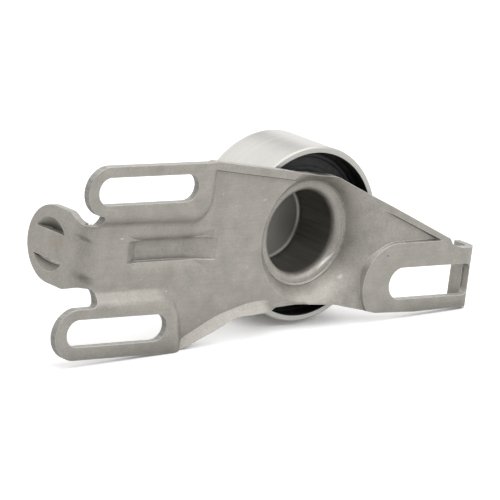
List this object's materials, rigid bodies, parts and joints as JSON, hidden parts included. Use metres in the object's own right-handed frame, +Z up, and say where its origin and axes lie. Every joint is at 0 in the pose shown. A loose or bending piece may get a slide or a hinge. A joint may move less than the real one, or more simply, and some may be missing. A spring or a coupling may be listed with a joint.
{
  "type": "timing belt tensioner pulley",
  "caption": "Stamped steel tensioner bracket with slotted ears and an end tab, carrying a smooth belt roller on a sealed ball bearing pressed on its drawn hub.",
  "frame": {"origin": "centre of the roller's belt face, on the roller axis", "axes": "+X along the three slots towards the ear with the turned flange, +Y along the roller axis away from the engine, +Z up as pictured; the three ears rest on the engine in the plane y = -19.3 mm"},
  "size_m": [0.1784, 0.0332, 0.0652],
  "materials": {
    "bracket_steel": "matt grey plated steel sheet, as pressed",
    "roller_steel": "ground and polished steel",
    "ring_steel": "ground bearing steel",
    "ball_steel": "lapped bearing steel",
    "cage_nylon": "moulded glass-filled nylon",
    "seal_rubber": "moulded nitrile rubber over a steel ring"
  },
  "bodies": {
    "bracket": {"bracket": "bracket_steel", "inner_ring": "ring_steel"},
    "roller": {"roller": "roller_steel", "seal_near": "seal_rubber", "seal_far": "seal_rubber"},
    "cage": {"cage": "cage_nylon", "ball_01": "ball_steel", "ball_02": "ball_steel", "ball_03": "ball_steel", "ball_04": "ball_steel", "ball_05": "ball_steel", "ball_06": "ball_steel", "ball_07": "ball_steel", "ball_08": "ball_steel", "ball_09": "ball_steel", "ball_10": "ball_steel", "ball_11": "ball_steel"}
  },
  "joints": [
    {"name": "roller_spin", "type": "hinge", "parent": "bracket", "child": "roller", "pos_m": [0, 0, 0], "axis": [0, 1, 0], "continuous": true},
    {"name": "cage_spin", "type": "hinge", "parent": "bracket", "child": "cage", "pos_m": [0, 0, 0], "axis": [0, 1, 0], "continuous": true}
  ],
  "couplings": [
    {"joint": "cage_spin", "follows": "roller_spin", "ratio": 0.5797}
  ]
}
